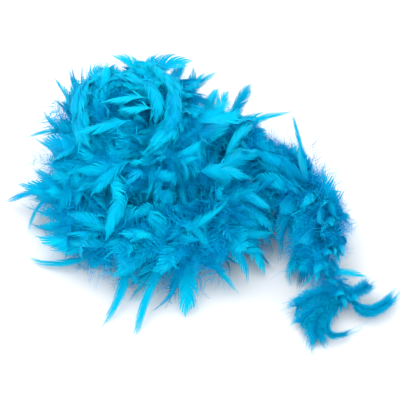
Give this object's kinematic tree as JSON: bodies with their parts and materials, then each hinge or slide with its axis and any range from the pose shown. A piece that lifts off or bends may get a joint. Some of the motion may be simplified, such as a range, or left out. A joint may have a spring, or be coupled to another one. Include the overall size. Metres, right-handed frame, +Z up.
{
  "type": "feather boa",
  "caption": "Feather boa lying in a loose heap, with down and long flat feathers lashed along a twisted core cord and a free tail that bends.",
  "frame": {"origin": "on the floor under the middle of the heap and its tail", "axes": "+X along the longest side, from the heap towards the tail; +Z up"},
  "size_m": [0.546, 0.424, 0.1686],
  "materials": {
    "feather": "satin dyed turquoise vane with fine barbs",
    "down": "matte dyed turquoise down",
    "cord": "twisted dyed string"
  },
  "bodies": {
    "heap": {"cord_heap": "cord", "down_heap_01": "down", "down_heap_02": "down", "down_heap_03": "down", "down_heap_04": "down", "down_heap_05": "down", "down_heap_06": "down", "down_heap_07": "down", "down_heap_08": "down", "down_heap_09": "down", "down_heap_10": "down", "down_heap_11": "down", "down_heap_12": "down", "down_heap_13": "down", "down_heap_14": "down", "down_heap_15": "down", "down_heap_16": "down", "down_heap_17": "down", "feather_crown_back": "feather", "feather_crown_east": "feather", "feather_crown_front": "feather", "feather_crown_wide": "feather", "feather_east_high": "feather", "feather_east_low": "feather", "feather_north_low": "feather", "feather_north_split": "feather", "feather_northeast_blunt": "feather", "feather_northeast_low": "feather", "feather_northeast_point": "feather", "feather_northwest_spoon": "feather", "feather_northwest_wedge": "feather", "feather_south_blunt": "feather", "feather_south_strip": "feather", "feather_south_strip_west": "feather", "feather_southeast_point": "feather", "feather_southwest_broad": "feather", "feather_southwest_curl": "feather", "feather_west_fork": "feather", "feather_west_long": "feather", "feather_west_low": "feather", "feather_west_strip": "feather", "knot_inner": "cord"},
    "tail_near": {"cord_tail_near": "cord", "down_tail_near_1": "down", "down_tail_near_2": "down", "feather_tail_spike": "feather"},
    "tail_mid": {"cord_tail_mid": "cord", "down_tail_mid_1": "down", "down_tail_mid_2": "down", "feather_tail_side": "feather", "feather_tail_vane": "feather"},
    "tail_tip": {"cord_tail_tip": "cord", "down_tail_tip_1": "down", "down_tail_tip_2": "down", "feather_tail_tip_side": "feather", "knot_tail": "cord", "plume_east": "down", "plume_south": "down"}
  },
  "joints": [
    {"name": "tail_swing", "type": "hinge", "parent": "heap", "child": "tail_near", "pos_m": [0.11767, 0.11121, 0.0479], "axis": [0, 0, 1], "range_deg": [-15, 30]},
    {"name": "tail_bend", "type": "hinge", "parent": "tail_near", "child": "tail_mid", "pos_m": [0.17281, 0.03861, 0.04579], "axis": [0, 0, 1], "range_deg": [-20, 30]},
    {"name": "tip_bend", "type": "hinge", "parent": "tail_mid", "child": "tail_tip", "pos_m": [0.18494, -0.04862, 0.03855], "axis": [0, 0, 1], "range_deg": [-12, 35]}
  ]
}
